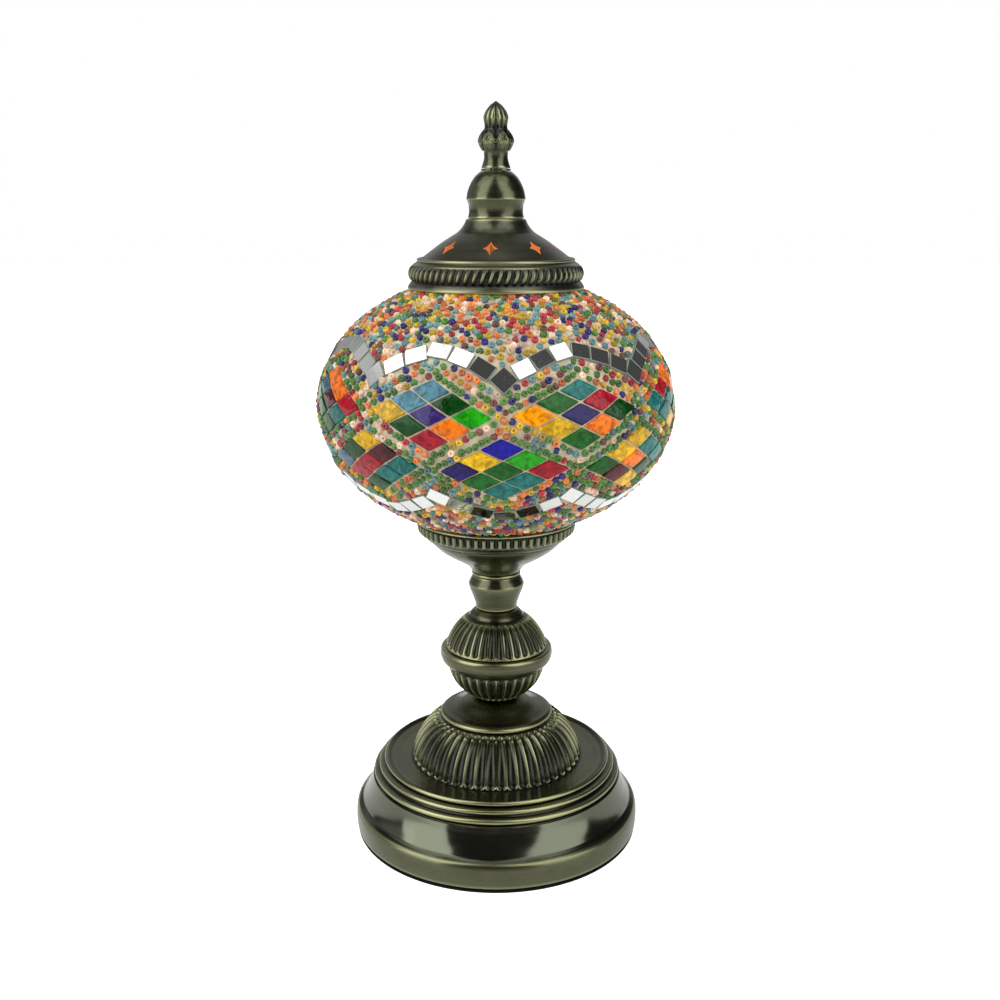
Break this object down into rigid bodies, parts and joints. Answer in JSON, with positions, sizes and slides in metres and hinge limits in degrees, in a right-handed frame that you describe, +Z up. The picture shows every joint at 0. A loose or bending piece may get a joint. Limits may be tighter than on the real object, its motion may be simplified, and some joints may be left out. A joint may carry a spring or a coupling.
{
  "type": "mosaic glass table lamp",
  "caption": "Table lamp with an oval mosaic glass shade on a turned bronze stem and domed base, with a vented cap and a screw finial.",
  "frame": {"origin": "on the lamp's axis, at the underside of the felt pad that it stands on", "axes": "+Z up along the lamp's axis, -Y the front that the camera faces, +Y the rear where the cord leaves the base"},
  "size_m": [0.18, 0.18, 0.3766],
  "materials": {
    "antique_bronze": "satin",
    "plain_brass": "satin",
    "zinc_steel": "satin",
    "cast_iron": "matte",
    "felt": "matte",
    "black_rubber": "matte",
    "black_phenolic": "gloss",
    "white_plastic": "satin",
    "opal_diffuser": "satin",
    "clear_glass": "gloss",
    "mosaic_grout": "matte",
    "mosaic_glass": "gloss",
    "mirror_tile": "gloss"
  },
  "bodies": {
    "base": {"felt_pad": "felt", "base_shell": "antique_bronze", "base_weight": "cast_iron", "cord_bushing": "black_rubber", "bottom_washer": "zinc_steel", "bottom_nut": "plain_brass", "threaded_tube": "zinc_steel", "base_collar": "antique_bronze", "knop_lower": "antique_bronze", "knop_upper": "antique_bronze", "vase_neck": "antique_bronze", "cup_collar": "antique_bronze", "shade_cup": "antique_bronze", "shade_gasket": "black_rubber", "cup_washer": "zinc_steel", "cup_lock_nut": "plain_brass", "harp_frame": "zinc_steel", "harp_rod": "zinc_steel", "harp_nut_lower": "zinc_steel", "harp_nut_upper": "zinc_steel", "lampholder_cap": "black_phenolic", "lampholder_shell": "black_phenolic", "lampholder_insert": "white_plastic", "lampholder_thread_sleeve": "plain_brass", "lampholder_contact": "plain_brass"},
    "shade": {"glass_globe": "clear_glass", "mosaic_skin": "mosaic_grout"},
    "cap": {"vented_cap": "antique_bronze", "cap_bell": "antique_bronze"},
    "finial_washer": {"finial_washer": "antique_bronze"},
    "finial": {"finial": "antique_bronze"},
    "bulb_tip": {"bulb_tip_contact": "plain_brass"},
    "bulb": {"bulb_insulator": "black_phenolic", "bulb_screw_cap": "zinc_steel", "bulb_housing": "white_plastic", "bulb_diffuser": "opal_diffuser"}
  },
  "joints": [
    {"name": "shade_lift", "type": "slide", "parent": "base", "child": "shade", "axis": [0, 0, 1], "range_m": [0, 0.2]},
    {"name": "cap_lift", "type": "slide", "parent": "shade", "child": "cap", "axis": [0, 0, 1], "range_m": [0, 0.09]},
    {"name": "finial_rise", "type": "slide", "parent": "cap", "child": "finial_washer", "axis": [0, 0, 1], "range_m": [0, 0.008]},
    {"name": "finial_turn", "type": "hinge", "parent": "finial_washer", "child": "finial", "pos_m": [0, 0, 0.3456], "axis": [0, 0, 1], "range_deg": [0, 2880]},
    {"name": "bulb_rise", "type": "slide", "parent": "base", "child": "bulb_tip", "axis": [0, 0, 1], "range_m": [0, 0.01452]},
    {"name": "bulb_turn", "type": "hinge", "parent": "bulb_tip", "child": "bulb", "pos_m": [0, 0, 0.184], "axis": [0, 0, 1], "range_deg": [0, 1440]}
  ],
  "couplings": [
    {"joint": "finial_rise", "follows": "finial_turn", "m_per_rad": 0.00015915},
    {"joint": "bulb_rise", "follows": "bulb_turn", "m_per_rad": 0.00057757}
  ]
}
